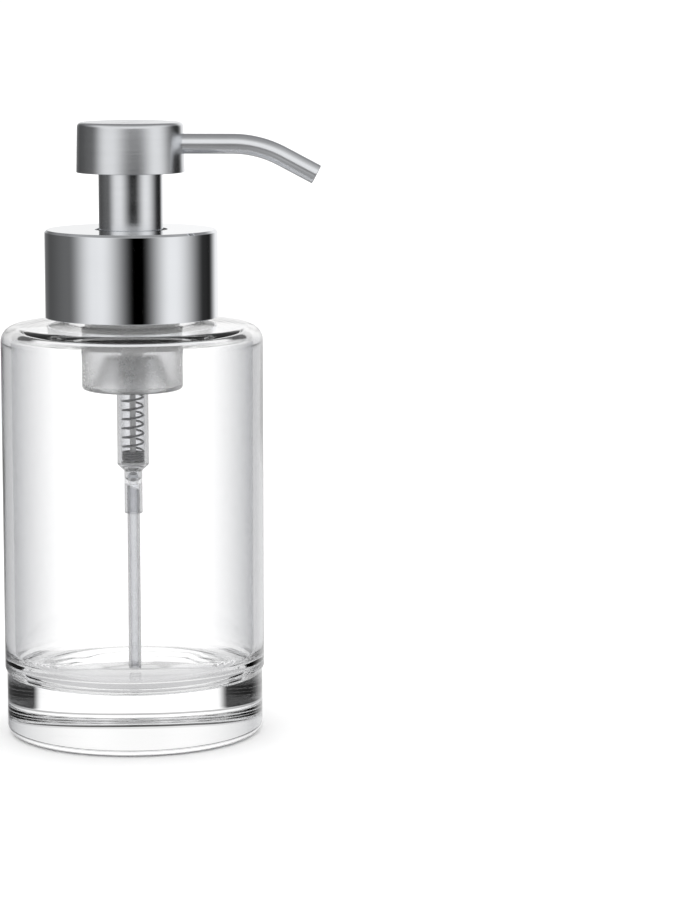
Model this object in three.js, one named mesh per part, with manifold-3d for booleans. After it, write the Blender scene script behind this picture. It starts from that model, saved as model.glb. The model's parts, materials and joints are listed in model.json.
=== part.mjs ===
// A foaming soap dispenser: a thick-based glass bottle with a screw-on foam pump.
//
// Units are millimetres and +Z is up. The origin is the centre of the bottle's flat base, on the axis that
// every turned piece shares, and the spout points along +X. The pump is drawn at rest, with its head up.
//
// The pump works like this. Pressing the head drives a hollow stem down. Its liquid piston pushes soap up
// past the valve rod while its air piston pushes air through the stem's ports. They meet under two mesh
// screens, and foam leaves by the head's channel and the spout. The spring lifts the stem again, and the
// liquid piston draws soap up the dip tube past the inlet ball.

import * as THREE from "three";
import { mergeVertices } from "three/addons/utils/BufferGeometryUtils.js";
import Module from "manifold-3d";

const wasm = await Module();
wasm.setup();

// ---------------------------------------------------------------- driving dimensions

const roundSides = 40; // sides of the large turned pieces
const smallSides = 24; // sides of the pieces under 16 mm across
const fit = 0.1; // clearance between pieces that are pressed or clipped together
const slidingFit = 0.15; // clearance between pieces that slide or turn

// Bottle
const bottleRadius = 41;
const bottleWall = 3.2;
const baseRadius = 40.4; // the thick base is set in a little from the wall
const stepLevel = 20.3; // middle of the step between them
const stepHalf = 0.8;
const heelRadius = 3;
const floorLevel = 17; // top of the thick glass base
const floorRadius = 25; // flat part of the floor inside
const floorSlopeRadius = 31; // the floor slopes up from its flat to here
const floorSlopeTop = 19.8;
const floorSweepTop = 27.5; // where the swept corner meets the wall
const shoulderLevel = 124; // top of the straight wall
const shoulderRadius = 5;
const shoulderUnderside = 126; // of the glass over the soap, at the inner corner
const mouthUnderside = 127.3; // and at the neck, so that the shoulder is equally thick all over
const innerCornerRadius = 2.4;
const neckFoot = 132.8; // middle of the fillet round the neck's foot
const neckMouthRadius = 3.5; // the inside curve from the shoulder into the neck
const rimEdge = 0.8;
const neckRadius = 20.3;
const neckBore = 18;
const neckFillet = 2.5;
const rimLevel = 147.5;

// Screw thread, a single right-hand start on the neck and in the cap
const threadPitch = 4.233;
const threadStart = 138.7; // centre of the neck's thread at angle 0
const neckThreadTurns = 0.95;
const neckThreadCrest = 21.6;
const neckThreadFoot = 1.2; // half the ridge's width where it meets the wall
const capThreadTurns = 0.9;
const capThreadCrest = 20.9;
const capThreadRoot = 22.1;
const capThreadFoot = 0.75;
const threadSink = 0.8; // how far a ridge is sunk into its wall
const capThreadDrop = 1.57; // how far the cap's thread hangs below the neck's
const threadStepsPerTurn = 20;
const threadFade = 0.12; // share of a turn over which a thread's end runs out

// Collar: the metal shell, the screw cap in it and the bush round the sleeve
const sleeveRadius = 10; // the metal tube under the head, which slides through the collar
const collarRadius = 27;
const collarBottom = 131.5;
const collarTop = 158.8;
const shellWall = 0.85;
const collarBevel = 0.7;
const collarLip = 0.2; // the shell's lower edge is eased by this much
const collarHole = 11.3;
const capRadius = collarRadius - shellWall - fit;
const capBottom = collarBottom + 0.6;
const capWall = 1.9;
const capHole = sleeveRadius + 0.5;
const capHubWall = 1.3; // the cap's hub round the sleeve
const capHubDrop = 0.9; // how far the hub stops under the shell's top
const bushFlange = 1.2;
const bushFlangeThickness = 0.7;
const bushSunk = 0.3; // the bush's top lies this far under the collar's
const capPlateBottom = 151.6;
const capPlateTop = 153.4;

// Pump housing: air cylinder, liquid cylinder and dip-tube socket in one moulding
const gasketThickness = 1.2;
const flangeRadius = 20.9;
const flangeBottom = rimLevel + gasketThickness;
const flangeTop = 150.5;
const airRadius = 15.8;
const airBore = 14.6;
const airBottom = 108.5;
const airFloor = 109.8;
const bossFoot = 12.4; // the cone that rises from the air cylinder's floor
const bossHead = 8.2;
const mouldedWall = 1.2;
const airBevel = 0.6;
const bossTop = 119.5;
const liquidRadius = 4.95;
const liquidBore = 3.85;
const liquidFloor = 84.7;
const socketRadius = 2.82;
const socketTop = 82.7;
const socketBottom = 69.3;
const tubeSeat = 78.5; // where the dip tube's socket ends and the ball's seat begins

const inletBore = 1.1; // the hole under the ball
const tubeFit = 0.05;
const tubeRadius = 1.95;
const tubeBore = 1.3;
const tubeBottom = 19.5;
const tubeTop = 77.9;
const tubeSlant = 0.38; // slope of the tube's cut top end

const ballRadius = 1.6;
const ballLevel = 80.8;

// Spring
const springBottom = 85.6;
const springTop = 113.5;
const springRadius = 3.25; // to the middle of the wire
const wireRadius = 0.3;
const closedPitch = 0.7;
const closedTurnsBottom = 4;
const closedTurnsTop = 2;
const openTurns = 8;
const springStepsPerTurn = 12;

// Valve rod
const rodRadius = 0.95;
const coneFoot = 120.8; // where the rod widens into its cone
const coneRadius = 1.95;

// Plunger
const stemRadius = 6.2;
const stemBore = 4.4;
const stemFoot = 133; // where the shank opens out into the stem
const airPortLevel = 143.5;
const cartridgeBore = 5.2;
const stemTop = 172.5;
const shankRadius = 3.3;
const shankBore = 2.3;
const pistonNeck = 2.65; // the liquid piston's neck, plugged into the shank
const pistonBore = 1.3;
const pistonTop = 122.5;
const shankBottom = 118.5;
const cartridgeRadius = 5.1;
const cartridgeLength = 12;
const cartridgeBottom = 153.5;
const skirtGap = 0.4; // between the air piston at rest and the cover over it
const skirtBottom = 123.5;
const skirtTop = 139.5;
const skirtWall = 1.3;
const hubRadius = 7.8; // the air piston's hub round the stem
const hubBottom = 133.4;
const hubTop = 141.5;
const webInner = 136.5; // top of the sloping web at the hub
const webOuter = 134.7; // and at the skirt
const webThickness = 1.6;
const flapThickness = 0.45;

// Head
const headBottom = 176.5;
const headTop = 192;
const headBottomRadius = 16.85;
const headTopRadius = 16.5;
const headEdge = 1.8; // radius of the rounded top edge
const headWall = 0.7;
const coreRadius = 15.6;
const coreBottom = headBottom + 0.4;
const coreTop = 190.5;
const coreShankBottom = 161.5;
const riserRadius = 3.2;
const sleeveWall = 0.7;
const sleeveBottom = 156;
const sleeveTop = 179;

// Spout, a bent tube whose centre line leaves the head level and turns down
const spoutLevel = 185.3;
const spoutRadius = 3.15;
const spoutBore = 2.6;
const spoutStart = 6.5;
const spoutBendStart = 31.8;
const spoutBendRadius = 32.7;
const spoutAngle = (27.8 * Math.PI) / 180;
const spoutEnd = 12.2; // straight length after the bend
const linerRadius = 2.5;
const linerBore = 1.8;
const spoutSteps = 18; // steps along the spout's length
const spoutSides = 16;
const linerSides = 10;
const linerShort = 0.6; // how far the liner stops before the spout's end

// ---------------------------------------------------------------- materials

const metal = (color, roughness) => new THREE.MeshStandardMaterial({ color, roughness, metalness: 1 });
const plastic = (color, roughness) => new THREE.MeshStandardMaterial({ color, roughness, metalness: 0 });

const polishedSteel = metal(0xc9cacc, 0.16);
const brushedSteel = metal(0xb4b5b7, 0.34);
const springSteel = metal(0x8f9296, 0.25);
const clearGlass = new THREE.MeshStandardMaterial({
  color: 0xf2f7f6,
  roughness: 0.03,
  metalness: 0,
  transparent: true,
  opacity: 0.3,
});
const frostedPlastic = plastic(0xdcdde0, 0.4);
const whitePlastic = plastic(0xeeeeec, 0.45);
const darkPlastic = plastic(0x3b3c3f, 0.5);
const rubber = plastic(0xd9d6cf, 0.75);

// ---------------------------------------------------------------- geometry helpers

// Points of an arc in a profile, as [radius, height] pairs. Angles are in degrees, from the outward
// direction towards +Z, and the radii may differ to give a quarter of an ellipse.
function arc(r, z, radius, from, to, steps, heightRadius = radius) {
  return Array.from({ length: steps + 1 }, (_, i) => {
    const angle = ((from + ((to - from) * i) / steps) * Math.PI) / 180;
    return [r + radius * Math.cos(angle), z + heightRadius * Math.sin(angle)];
  });
}

// Turns a profile of [radius, height] pairs about the Z axis. A profile that starts off the axis is closed
// back to its first point.
function turned(profile, sides = roundSides) {
  const points = profile.map(([r, z]) => new THREE.Vector2(r, z));
  if (profile[0][0] > 0) points.push(points[0].clone());
  return new THREE.LatheGeometry(points, sides).rotateX(Math.PI / 2);
}

// A tube with a bore, between two heights.
function tube(outer, bore, bottom, top, sides = roundSides) {
  return turned([[outer, bottom], [outer, top], [bore, top], [bore, bottom]], sides);
}

function solidOf(geometry) {
  const bare = geometry.clone();
  bare.deleteAttribute("normal");
  bare.deleteAttribute("uv");
  const merged = mergeVertices(bare, 1e-4);
  return new wasm.Manifold(
    new wasm.Mesh({
      numProp: 3,
      vertProperties: merged.attributes.position.array,
      triVerts: new Uint32Array(merged.index.array),
    }),
  );
}

function geometryOf(solid) {
  const mesh = solid.getMesh();
  const geometry = new THREE.BufferGeometry();
  geometry.setAttribute("position", new THREE.BufferAttribute(new Float32Array(mesh.vertProperties), 3));
  geometry.setIndex(new THREE.BufferAttribute(new Uint32Array(mesh.triVerts), 1));
  return geometry;
}

const joined = (...parts) => geometryOf(parts.map(solidOf).reduce((a, b) => a.add(b)));
const cut = (body, ...tools) => {
  const solid = tools.map(solidOf).reduce((left, tool) => left.subtract(tool), solidOf(body));
  return geometryOf(solid);
};

// A cylinder that lies along +X, from one x to another, at the given height.
function crossBar(radius, from, to, level, sides = smallSides) {
  const bar = new THREE.CylinderGeometry(radius, radius, to - from, sides);
  return bar.rotateZ(-Math.PI / 2).translate((from + to) / 2, 0, level);
}

// Sweeps a polygon, given as [across, up] pairs, along a curve.
function swept(section, curve, steps, hole) {
  const shape = new THREE.Shape(section.map(([x, y]) => new THREE.Vector2(x, y)));
  if (hole) shape.holes.push(new THREE.Path(hole.map(([x, y]) => new THREE.Vector2(x, y))));
  return new THREE.ExtrudeGeometry(shape, { steps, extrudePath: curve, bevelEnabled: false });
}

function polygon(radius, sides) {
  return Array.from({ length: sides }, (_, i) => {
    const angle = (2 * Math.PI * i) / sides;
    return [radius * Math.cos(angle), radius * Math.sin(angle)];
  });
}

// A thread's ridge: a trapezium carried along a right-hand helix. It sinks into the wall at root, and its
// crest fades back to the wall over each end.
function threadRidge({ root, wall, crest, footHalf, crestHalf, start, turns }) {
  const steps = Math.round(turns * threadStepsPerTurn);
  const positions = [];
  for (let i = 0; i <= steps; i++) {
    const turn = (turns * i) / steps;
    const fade = Math.min(1, turn / threadFade, (turns - turn) / threadFade);
    const tip = wall + (crest - wall) * fade;
    const angle = 2 * Math.PI * turn;
    const level = start + threadPitch * turn;
    const section = [
      [root, -footHalf],
      [wall, -footHalf],
      [tip, -crestHalf],
      [tip, crestHalf],
      [wall, footHalf],
      [root, footHalf],
    ];
    for (const [r, z] of section) positions.push(r * Math.cos(angle), r * Math.sin(angle), level + z);
  }
  const count = 6;
  const faces = [];
  for (let i = 0; i < steps; i++) {
    for (let j = 0; j < count; j++) {
      const a = i * count + j;
      const b = i * count + ((j + 1) % count);
      faces.push(a, b + count, b, a, a + count, b + count);
    }
  }
  const last = steps * count;
  for (let j = 1; j < count - 1; j++) faces.push(0, j, j + 1, last, last + j + 1, last + j);
  // A ridge that points inward is the mirror of one that points outward, so its faces are turned round.
  if (crest < root) {
    for (let i = 0; i < faces.length; i += 3) [faces[i], faces[i + 1]] = [faces[i + 1], faces[i]];
  }
  const geometry = new THREE.BufferGeometry();
  geometry.setAttribute("position", new THREE.Float32BufferAttribute(positions, 3));
  geometry.setIndex(faces);
  return geometry;
}

// ---------------------------------------------------------------- curves

// The spout's centre line in the XZ plane: level, round the bend, then straight down its slope.
class SpoutLine extends THREE.Curve {
  constructor(shortBy = 0) {
    super();
    this.level = spoutBendStart - spoutStart;
    this.bend = spoutBendRadius * spoutAngle;
    this.total = this.level + this.bend + spoutEnd - shortBy;
  }

  getPoint(t, target = new THREE.Vector3()) {
    const s = t * this.total;
    if (s <= this.level) return target.set(spoutStart + s, 0, spoutLevel);
    const turnedBy = Math.min((s - this.level) / spoutBendRadius, spoutAngle);
    const beyond = Math.max(0, s - this.level - this.bend);
    return target.set(
      spoutBendStart + spoutBendRadius * Math.sin(turnedBy) + beyond * Math.cos(spoutAngle),
      0,
      spoutLevel - spoutBendRadius * (1 - Math.cos(turnedBy)) - beyond * Math.sin(spoutAngle),
    );
  }
}

// The spring's wire: closed turns at both ends and open turns between them.
class SpringLine extends THREE.Curve {
  getPoint(t, target = new THREE.Vector3()) {
    const turns = closedTurnsBottom + openTurns + closedTurnsTop;
    const turn = t * turns;
    const rise = springTop - springBottom - 2 * wireRadius;
    const openPitch = (rise - (closedTurnsBottom + closedTurnsTop) * closedPitch) / openTurns;
    const open = Math.min(Math.max(turn - closedTurnsBottom, 0), openTurns);
    const height = springBottom + wireRadius + (turn - open) * closedPitch + open * openPitch;
    const angle = 2 * Math.PI * turn;
    return target.set(springRadius * Math.cos(angle), springRadius * Math.sin(angle), height);
  }
}

// ---------------------------------------------------------------- bottle

function glassBottle() {
  const inside = bottleRadius - bottleWall;
  const floorSweep = inside - floorSlopeRadius;
  const body = turned([
    [0, 0],
    ...arc(baseRadius - heelRadius, heelRadius, heelRadius, -90, 0, 4),
    [baseRadius, stepLevel - stepHalf],
    [bottleRadius, stepLevel + stepHalf],
    ...arc(bottleRadius - shoulderRadius, shoulderLevel, shoulderRadius, 0, 90, 5),
    ...arc(neckRadius + neckFillet, neckFoot, neckFillet, 270, 180, 3),
    [neckRadius, rimLevel - rimEdge],
    [neckRadius - rimEdge, rimLevel],
    [neckBore + rimEdge, rimLevel],
    [neckBore, rimLevel - rimEdge],
    ...arc(neckBore + neckMouthRadius, mouthUnderside + neckMouthRadius, neckMouthRadius, 180, 270, 3),
    ...arc(inside - innerCornerRadius, shoulderUnderside - innerCornerRadius, innerCornerRadius, 90, 0, 4),
    ...arc(floorSlopeRadius, floorSweepTop, floorSweep, 0, -90, 4, floorSweepTop - floorSlopeTop),
    [floorRadius, floorLevel],
    [0, floorLevel],
  ]);
  const thread = threadRidge({
    root: neckRadius - threadSink,
    wall: neckRadius,
    crest: neckThreadCrest,
    footHalf: neckThreadFoot,
    crestHalf: neckThreadFoot / 2,
    start: threadStart,
    turns: neckThreadTurns,
  });
  return joined(body, thread);
}

// ---------------------------------------------------------------- collar

function collarShell() {
  const inside = collarRadius - shellWall;
  return turned([
    [collarRadius - collarLip, collarBottom],
    [collarRadius, collarBottom + collarLip],
    [collarRadius, collarTop - collarBevel],
    [collarRadius - collarBevel, collarTop],
    [collarHole, collarTop],
    [collarHole, collarTop - shellWall],
    [inside, collarTop - shellWall],
    [inside, collarBottom],
  ]);
}

function screwCap() {
  const top = collarTop - shellWall - fit;
  const body = turned([
    [capRadius, capBottom],
    [capRadius, top],
    [capRadius - capWall, top],
    [capRadius - capWall, capPlateTop],
    [capHole + capHubWall, capPlateTop],
    [capHole + capHubWall, top - capHubDrop],
    [capHole, top - capHubDrop],
    [capHole, capPlateBottom],
    [capThreadRoot, capPlateBottom],
    [capThreadRoot, capBottom],
  ]);
  const thread = threadRidge({
    root: capThreadRoot + threadSink,
    wall: capThreadRoot,
    crest: capThreadCrest,
    footHalf: capThreadFoot,
    crestHalf: capThreadFoot / 2,
    start: threadStart - capThreadDrop,
    turns: capThreadTurns,
  });
  return joined(body, thread);
}

function collarBush() {
  const bore = sleeveRadius + slidingFit;
  const lip = collarTop - shellWall - fit;
  return turned([
    [collarHole + bushFlange, lip - bushFlangeThickness],
    [collarHole + bushFlange, lip],
    [collarHole - slidingFit, lip],
    [collarHole - slidingFit, collarTop - bushSunk],
    [bore, collarTop - bushSunk],
    [bore, lip - bushFlangeThickness],
  ]);
}

// ---------------------------------------------------------------- pump housing and what stays in it

function pumpHousing() {
  return turned([
    [socketRadius, socketBottom],
    [socketRadius, socketTop],
    [liquidRadius, liquidFloor],
    [liquidRadius, bossTop - mouldedWall],
    [bossHead - mouldedWall, bossTop - mouldedWall],
    [bossFoot - mouldedWall, airBottom],
    [airRadius - airBevel, airBottom],
    [airRadius, airBottom + airBevel],
    [airRadius, flangeBottom],
    [flangeRadius, flangeBottom],
    [flangeRadius, flangeTop],
    [airBore, flangeTop],
    [airBore, airFloor],
    [bossFoot, airFloor],
    [bossHead, bossTop],
    [liquidBore, bossTop],
    [liquidBore, liquidFloor],
    [tubeRadius, liquidFloor],
    [tubeRadius, tubeSeat + 2],
    [inletBore, tubeSeat + 1],
    [inletBore, tubeSeat],
    [tubeRadius + tubeFit, tubeSeat],
    [tubeRadius + tubeFit, socketBottom],
  ]);
}

function cylinderCover() {
  const hole = sleeveRadius + 0.35;
  const seat = flangeTop + fit / 2;
  return turned([
    [airBore - mouldedWall, skirtTop + skirtGap],
    [airBore - fit, skirtTop + skirtGap],
    [airBore - fit, seat],
    [flangeRadius, seat],
    [flangeRadius, flangeTop + 1],
    [hole, flangeTop + 1],
    [hole, flangeTop - 1],
    [airBore - mouldedWall, flangeTop - 1],
  ]);
}

// The dip tube's top is cut on a slant, as it is from a length of tube.
function dipTube() {
  const reach = 3;
  const straight = tube(tubeRadius, tubeBore, tubeBottom, tubeTop + reach, smallSides);
  const blade = new THREE.BoxGeometry(12, 12, 2 * reach).translate(0, 0, reach);
  blade.rotateY(Math.atan(tubeSlant)).translate(0, 0, tubeTop - tubeSlant * tubeRadius);
  return cut(straight, blade);
}

// The rod stands on a pierced disc at the foot of the liquid cylinder. Its cone closes the liquid piston.
function valveRod() {
  const disc = liquidBore - slidingFit;
  const rod = turned(
    [
      [0, liquidFloor + fit],
      [disc, liquidFloor + fit],
      [disc, springBottom - fit / 2],
      [rodRadius, springBottom - fit / 2],
      [rodRadius, coneFoot],
      [coneRadius, coneFoot + 1.7],
      [coneRadius, coneFoot + 2.3],
      [0, coneFoot + 2.9],
    ],
    smallSides,
  );
  const ports = [0, 1, 2, 3].map((i) => {
    const port = new THREE.CylinderGeometry(0.7, 0.7, 4, 8).rotateX(Math.PI / 2);
    return port.translate(2.3, 0, springBottom).rotateZ((i * Math.PI) / 2);
  });
  return cut(rod, ...ports);
}

function returnSpring() {
  const steps = (closedTurnsBottom + openTurns + closedTurnsTop) * springStepsPerTurn;
  return swept(polygon(wireRadius, 5), new SpringLine(), steps);
}

// ---------------------------------------------------------------- plunger

function stem() {
  const body = turned(
    [
      [shankRadius, shankBottom],
      [shankRadius, stemFoot],
      [stemRadius, stemFoot + 0.9],
      [stemRadius, stemTop],
      [cartridgeBore, stemTop],
      [cartridgeBore, cartridgeBottom],
      [stemBore, cartridgeBottom],
      [stemBore, stemFoot + 2.1],
      [shankBore, stemFoot + 0.7],
      [shankBore, pistonTop + fit],
      [pistonNeck + fit, pistonTop + fit],
      [pistonNeck + fit, shankBottom],
    ],
    smallSides,
  );
  const ports = [0, 1].map((i) => crossBar(0.6, -8, 8, airPortLevel, 8).rotateZ((i * Math.PI) / 2));
  return cut(body, ...ports);
}

function liquidPiston() {
  return turned(
    [
      [3.2, springTop + fit / 2],
      [liquidBore - fit, springTop + fit / 2 + 0.4],
      [liquidBore - 0.35, springTop + 1.8],
      [liquidBore - fit, springTop + 3.6],
      [liquidBore - fit, shankBottom - 0.4],
      [pistonNeck, shankBottom - 0.2],
      [pistonNeck, pistonTop],
      [shankBore, pistonTop],
      [pistonBore, pistonTop - 1.5],
      [pistonBore, springTop + fit / 2],
    ],
    smallSides,
  );
}

function airPiston() {
  const bore = stemRadius + fit;
  const lip = airBore - fit;
  return turned([
    [lip - 0.9, skirtBottom],
    [lip, skirtBottom],
    [lip - 0.3, skirtBottom + 2],
    [lip - 0.3, skirtTop - 2],
    [lip, skirtTop],
    [lip - 0.9, skirtTop],
    [lip - skirtWall, webOuter],
    [hubRadius, webInner],
    [hubRadius - 0.2, hubTop],
    [bore, hubTop],
    [bore, hubBottom],
    [hubRadius, webInner - webThickness],
    [lip - skirtWall, webOuter - webThickness],
  ]);
}

// A soft flap lies on the air piston's sloping web, so it's a shallow cone too.
function airValve() {
  const slope = (webInner - webOuter) / (airBore - fit - skirtWall - hubRadius);
  const level = (r) => webInner - (r - hubRadius) * slope + slidingFit;
  const inner = hubRadius + 0.6;
  const outer = inner + 4;
  return turned([
    [inner, level(inner)],
    [outer, level(outer)],
    [outer, level(outer) + flapThickness],
    [inner, level(inner) + flapThickness],
  ]);
}

function meshCartridge() {
  const bottom = cartridgeBottom + 0.7;
  return tube(cartridgeRadius, stemBore - 0.2, bottom, bottom + cartridgeLength, smallSides);
}

// A woven screen, as a disc with a square grid of holes.
function meshScreen(bottom) {
  const pitch = 1.5;
  const opening = 0.9;
  const top = bottom + 0.4;
  const disc = turned([[0, bottom], [cartridgeRadius, bottom], [cartridgeRadius, top], [0, top]], smallSides);
  const holes = [];
  for (let i = -2; i <= 2; i++) {
    for (let j = -2; j <= 2; j++) {
      if (Math.hypot(i, j) > 2.3) continue;
      holes.push(new THREE.BoxGeometry(opening, opening, 2).translate(i * pitch, j * pitch, bottom));
    }
  }
  return cut(disc, ...holes);
}

// ---------------------------------------------------------------- head

function headShell() {
  const slope = (headBottomRadius - headTopRadius) / (headTop - headBottom);
  const outer = turned([
    [0, headBottom],
    [headBottomRadius, headBottom],
    [headTopRadius + slope * headEdge, headTop - headEdge],
    ...arc(headTopRadius - headEdge, headTop - headEdge, headEdge, 0, 90, 4),
    [0, headTop],
  ]);
  const hollow = turned([
    [0, headBottom - 1],
    [headBottomRadius - headWall, headBottom - 1],
    [headTopRadius - headWall, headTop - headEdge],
    [headTopRadius - headEdge, headTop - headWall],
    [0, headTop - headWall],
  ]);
  return cut(outer, hollow, crossBar(spoutRadius + fit, 10, 20, spoutLevel));
}

// The plastic core fills the shell. Its shank takes the stem's end, its groove takes the sleeve, and its
// channel turns the foam from the stem into the spout.
function headCore() {
  const shank = sleeveRadius - sleeveWall - fit;
  const body = turned([
    [0, coreShankBottom],
    [shank, coreShankBottom],
    [shank, sleeveTop + fit],
    [sleeveRadius + fit, sleeveTop + fit],
    [sleeveRadius + fit, coreBottom],
    [coreRadius, coreBottom],
    [coreRadius, coreTop - 1.5],
    [coreRadius - 1.2, coreTop],
    [0, coreTop],
  ]);
  const socketEnd = stemTop + 0.3;
  const socket = turned(
    [
      [0, coreShankBottom - 1],
      [stemRadius + slidingFit, coreShankBottom - 1],
      [stemRadius + slidingFit, socketEnd],
      [0, socketEnd],
    ],
    smallSides,
  );
  const riser = turned(
    [
      [0, stemTop],
      [riserRadius, stemTop],
      [riserRadius, coreTop - 2.4],
      [0, coreTop - 1.6],
    ],
    smallSides,
  );
  const spoutSocket = crossBar(spoutRadius + fit, spoutStart - 0.6, coreRadius + 4, spoutLevel);
  const channel = crossBar(2.2, 0, spoutStart + 0.5, spoutLevel, 16);
  return cut(body, socket, riser, spoutSocket, channel);
}

function neckSleeve() {
  return tube(sleeveRadius, sleeveRadius - sleeveWall, sleeveBottom, sleeveTop);
}

function spoutTube() {
  return swept(polygon(spoutRadius, spoutSides), new SpoutLine(), spoutSteps, polygon(spoutBore, spoutSides));
}

function spoutLiner() {
  const line = new SpoutLine(linerShort);
  return swept(polygon(linerRadius, linerSides), line, spoutSteps, polygon(linerBore, linerSides));
}

// ---------------------------------------------------------------- assembly

function piece(name, geometry, material) {
  const mesh = new THREE.Mesh(geometry, material);
  mesh.name = name;
  return mesh;
}

const bottle = new THREE.Group();
bottle.add(piece("glass_bottle", glassBottle(), clearGlass));

const pump = new THREE.Group();
pump.add(
  piece("rim_gasket", tube(neckRadius + 0.7, airRadius + 0.3, rimLevel, flangeBottom), rubber),
  piece("pump_housing", pumpHousing(), frostedPlastic),
  piece("cylinder_cover", cylinderCover(), whitePlastic),
  piece("dip_tube", dipTube(), frostedPlastic),
  piece("inlet_ball", new THREE.SphereGeometry(ballRadius, 16, 10).translate(0, 0, ballLevel), springSteel),
  piece("valve_rod", valveRod(), whitePlastic),
  piece("return_spring", returnSpring(), springSteel),
);

const plunger = new THREE.Group();
plunger.add(
  piece("stem", stem(), whitePlastic),
  piece("liquid_piston", liquidPiston(), whitePlastic),
  piece("air_piston", airPiston(), whitePlastic),
  piece("air_valve", airValve(), rubber),
  piece("mesh_cartridge", meshCartridge(), whitePlastic),
  piece("lower_mesh", meshScreen(cartridgeBottom + 0.15), whitePlastic),
  piece("upper_mesh", meshScreen(cartridgeBottom + 12.85), whitePlastic),
);

const head = new THREE.Group();
head.add(
  piece("head_shell", headShell(), brushedSteel),
  piece("head_core", headCore(), whitePlastic),
  piece("neck_sleeve", neckSleeve(), brushedSteel),
  piece("spout_tube", spoutTube(), brushedSteel),
  piece("spout_liner", spoutLiner(), whitePlastic),
);

const collar = new THREE.Group();
collar.add(
  piece("collar_shell", collarShell(), polishedSteel),
  piece("screw_cap", screwCap(), whitePlastic),
  piece("collar_bush", collarBush(), darkPlastic),
);

const dispenser = new THREE.Group();
dispenser.add(bottle, pump, plunger, head, collar);

export default dispenser;
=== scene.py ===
import json
from math import atan2, cos, pi, radians, sin
import bmesh
import bpy
import numpy as np
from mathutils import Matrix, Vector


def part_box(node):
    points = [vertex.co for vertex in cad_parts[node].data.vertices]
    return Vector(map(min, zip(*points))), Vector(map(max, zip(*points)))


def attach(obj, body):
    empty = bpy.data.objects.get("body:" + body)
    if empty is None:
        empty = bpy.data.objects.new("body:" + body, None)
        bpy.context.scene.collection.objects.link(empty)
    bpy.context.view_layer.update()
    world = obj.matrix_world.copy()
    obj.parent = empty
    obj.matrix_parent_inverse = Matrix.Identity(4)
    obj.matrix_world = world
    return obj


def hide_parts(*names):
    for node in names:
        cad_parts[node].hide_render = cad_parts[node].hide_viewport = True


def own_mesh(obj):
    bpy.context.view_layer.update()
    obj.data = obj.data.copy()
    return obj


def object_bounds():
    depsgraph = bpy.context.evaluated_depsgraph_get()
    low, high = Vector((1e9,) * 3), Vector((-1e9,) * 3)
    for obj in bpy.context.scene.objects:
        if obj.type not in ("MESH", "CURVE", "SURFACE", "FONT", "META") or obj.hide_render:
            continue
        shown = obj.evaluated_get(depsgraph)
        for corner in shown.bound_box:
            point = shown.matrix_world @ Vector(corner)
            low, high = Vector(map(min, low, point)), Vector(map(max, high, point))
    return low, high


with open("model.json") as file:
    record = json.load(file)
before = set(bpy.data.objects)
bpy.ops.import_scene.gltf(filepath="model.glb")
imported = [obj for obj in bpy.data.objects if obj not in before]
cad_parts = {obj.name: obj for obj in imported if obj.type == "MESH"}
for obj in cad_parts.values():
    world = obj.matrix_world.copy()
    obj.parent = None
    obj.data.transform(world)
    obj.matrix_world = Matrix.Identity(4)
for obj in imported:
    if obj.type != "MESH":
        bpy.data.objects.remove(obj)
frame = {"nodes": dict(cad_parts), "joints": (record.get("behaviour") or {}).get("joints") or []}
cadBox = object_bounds()
mm = 0.001
steelTint = (0.955, 0.972, 1)
screwThread = {"start": 138.7, "pitch": 4.233, "fade": 0.1}  # on the neck and in its cap, in millimetres
print("frame loaded")


def span(node):
    # A turned node's outer radius, lowest and highest z, in millimetres.
    low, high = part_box(node)
    return high[0] / mm, low[2] / mm, high[2] / mm


class Link:
    # A node's output that takes part in sums; each operator adds a Math node.
    def __init__(self, shader, socket):
        self.shader, self.socket = shader, socket

    def __add__(self, other):
        return self.shader.maths("ADD", self, other)

    def __sub__(self, other):
        return self.shader.maths("SUBTRACT", self, other)

    def __mul__(self, other):
        return self.shader.maths("MULTIPLY", self, other)

    def __truediv__(self, other):
        return self.shader.maths("DIVIDE", self, other)

    def __pow__(self, other):
        return self.shader.maths("POWER", self, other)

    def __rsub__(self, other):
        return self.shader.maths("SUBTRACT", other, self)

    __radd__ = __add__
    __rmul__ = __mul__

    def clamped(self):
        return self.shader.maths("MINIMUM", self.shader.maths("MAXIMUM", self, 0), 1)

    def above(self, other):
        return self.shader.maths("GREATER_THAN", self, other)

    def out(self, name):
        return Link(self.shader, self.socket.node.outputs[name])


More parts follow.
